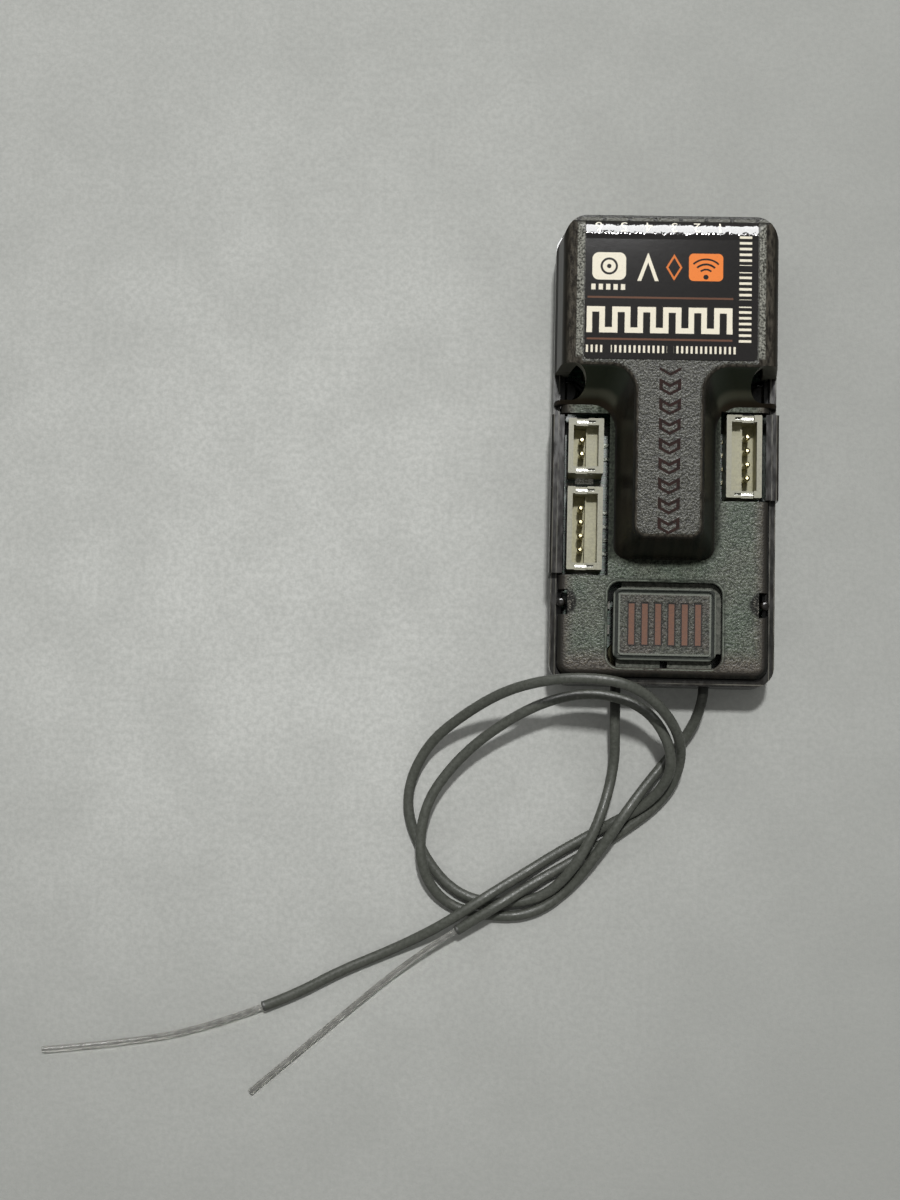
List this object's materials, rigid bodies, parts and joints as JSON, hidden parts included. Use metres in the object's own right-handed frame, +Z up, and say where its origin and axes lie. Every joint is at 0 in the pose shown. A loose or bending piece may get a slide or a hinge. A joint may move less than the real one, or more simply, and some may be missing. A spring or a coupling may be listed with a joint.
{
  "type": "radio control receiver",
  "caption": "Small smoky plastic radio-control receiver with front servo ports, side headers, a push pad and two thin coax antennas laid in a loop.",
  "frame": {"origin": "centre of the case's footprint, on the surface that the receiver lies on", "axes": "+X across the case, +Y along it towards the servo ports, +Z up through the label"},
  "size_m": [0.0785, 0.0947, 0.0132],
  "materials": {
    "smoky_plastic": "smoky translucent, fine-textured on top and smooth on the sides",
    "label_film": "glossy film",
    "board_green": "solder resist",
    "header_black": "moulded",
    "contact_gold": "plated",
    "header_ivory": "moulded",
    "tinned_metal": "tinned",
    "plug_gold": "plated",
    "button_plastic": "smoky, fine-textured",
    "bar_brown": "filled",
    "chip_black": "moulded",
    "sensor_metal": "capped",
    "ceramic_tan": "ceramic",
    "led_clear": "clear resin",
    "coax_grey": "smooth sheath",
    "bare_tip": "bare"
  },
  "bodies": {
    "receiver": {"antenna_lead_left": "coax_grey", "antenna_lead_right": "coax_grey", "antenna_tip_left": "bare_tip", "antenna_tip_right": "bare_tip", "board_capacitors": "ceramic_tan", "case_bottom": "smoky_plastic", "case_top": "smoky_plastic", "circuit_board": "board_green", "coax_inside_left": "coax_grey", "coax_inside_right": "coax_grey", "coax_plug_left": "plug_gold", "coax_plug_right": "plug_gold", "crystal_can": "tinned_metal", "label": "label_film", "microcontroller": "chip_black", "motion_sensor": "chip_black", "negative_pins": "contact_gold", "port_a_housing": "header_ivory", "port_a_pegs": "tinned_metal", "port_a_pins": "tinned_metal", "port_b_housing": "header_ivory", "port_b_pegs": "tinned_metal", "port_b_pins": "tinned_metal", "port_c_housing": "header_ivory", "port_c_pegs": "tinned_metal", "port_c_pins": "tinned_metal", "positive_pins": "contact_gold", "pressure_sensor": "sensor_metal", "radio_shield": "tinned_metal", "regulator": "chip_black", "servo_header_block": "header_black", "signal_pins": "contact_gold", "status_led": "led_clear", "switch_body": "header_black"},
    "button": {"bind_button": "button_plastic", "button_bars": "bar_brown", "switch_plunger": "button_plastic"}
  },
  "joints": [
    {"name": "bind_button_press", "type": "slide", "parent": "receiver", "child": "button", "axis": [0, 0, -1], "range_m": [0, 0.0003], "stiffness_N_per_m": 2000}
  ]
}
